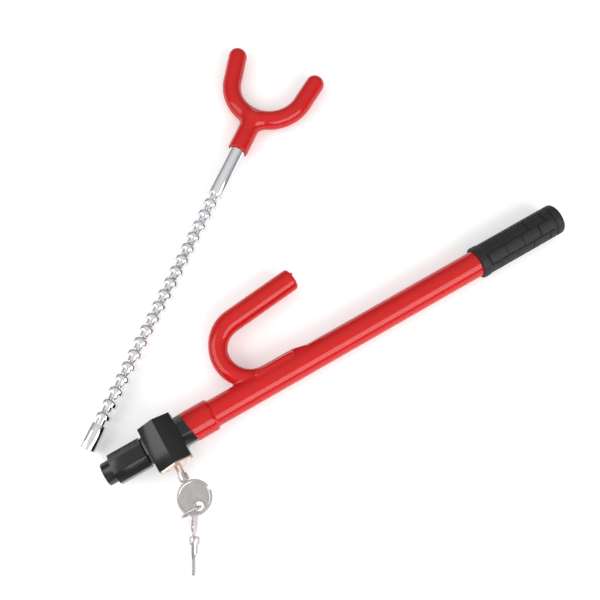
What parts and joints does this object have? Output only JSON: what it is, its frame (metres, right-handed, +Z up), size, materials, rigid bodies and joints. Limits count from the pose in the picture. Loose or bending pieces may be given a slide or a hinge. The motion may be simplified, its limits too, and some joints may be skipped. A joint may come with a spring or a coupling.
{
  "type": "steering wheel lock",
  "caption": "Car steering wheel lock: hooked red tube with a key lock head and rubber grip, and a withdrawn ratchet rod with a padded fork.",
  "frame": {"origin": "middle of the flat foot under the lock head", "axes": "+X along the tube from the lock head to the grip, +Y to the hook's side, +Z up"},
  "size_m": [0.5105, 0.4505, 0.0525],
  "materials": {
    "red_vinyl": "glossy dipped vinyl",
    "black_enamel": "satin black enamel over a casting",
    "rubber": "moulded rubber",
    "chrome": "bright plated",
    "steel": "machined",
    "brass": "satin",
    "nickel": "nickel plated, stamped",
    "nylon": "moulded nylon"
  },
  "bodies": {
    "lock_body": {"main_tube": "steel", "hook_bar": "steel", "hook_welds": "steel", "tube_coating": "red_vinyl", "tube_end_plug": "nylon", "rubber_grip": "rubber", "lock_housing": "black_enamel", "nose_bush": "nylon", "collar_pins": "steel", "face_plate": "brass", "face_rivets": "brass", "cylinder_shell": "brass", "driver_pins": "brass", "pin_springs": "steel", "spring_strip": "brass", "bolt_spring": "steel", "bolt_cap": "black_enamel"},
    "plug": {"cylinder_plug": "brass", "key_pins": "brass", "plug_clip": "steel", "cam_pin": "steel"},
    "bolt": {"locking_bolt": "steel"},
    "key": {"key_blade": "nickel", "key_bow": "nickel"},
    "ring": {"key_ring": "nickel"},
    "spare_key": {"spare_key_blade": "nickel", "spare_key_bow": "nickel"},
    "guard_pin": {"saw_guard_pin": "steel"},
    "rod": {"lock_rod": "chrome", "rod_tip_plug": "chrome", "fork_bar": "steel", "fork_socket": "steel", "fork_pin": "steel", "fork_coating": "red_vinyl"}
  },
  "joints": [
    {"name": "rod_swing", "type": "hinge", "parent": "lock_body", "child": "guard_pin", "pos_m": [-0.06025, 0.01224, -0.00546], "axis": [-0.055, 0.1682, 0.9842], "range_deg": [0, 144.33]},
    {"name": "rod_slide", "type": "slide", "parent": "guard_pin", "child": "rod", "axis": [-0.807, -0.5906, 0], "range_m": [0, 0.32871]},
    {"name": "key_turn", "type": "hinge", "parent": "lock_body", "child": "plug", "pos_m": [0, -0.02, 0.0343], "axis": [0, -1, 0], "range_deg": [0, 90]},
    {"name": "bolt_lift", "type": "slide", "parent": "lock_body", "child": "bolt", "axis": [0, 0, 1], "range_m": [0, 0.0036], "deforming": ["bolt_spring"]},
    {"name": "key_pull", "type": "slide", "parent": "plug", "child": "key", "axis": [0, -1, 0], "range_m": [0, 0.018]},
    {"name": "ring_swing", "type": "hinge", "parent": "key", "child": "ring", "pos_m": [0, -0.0691, 0.0343], "axis": [1, 0, 0], "range_deg": [-4, 25]},
    {"name": "spare_key_swing", "type": "hinge", "parent": "ring", "child": "spare_key", "pos_m": [-0.0067, -0.0691, 0.01852], "axis": [0.866, -0.5, 0], "range_deg": [-4, 50]}
  ],
  "couplings": [
    {"joint": "bolt_lift", "follows": "key_turn", "m_per_rad": 0.0022508}
  ]
}
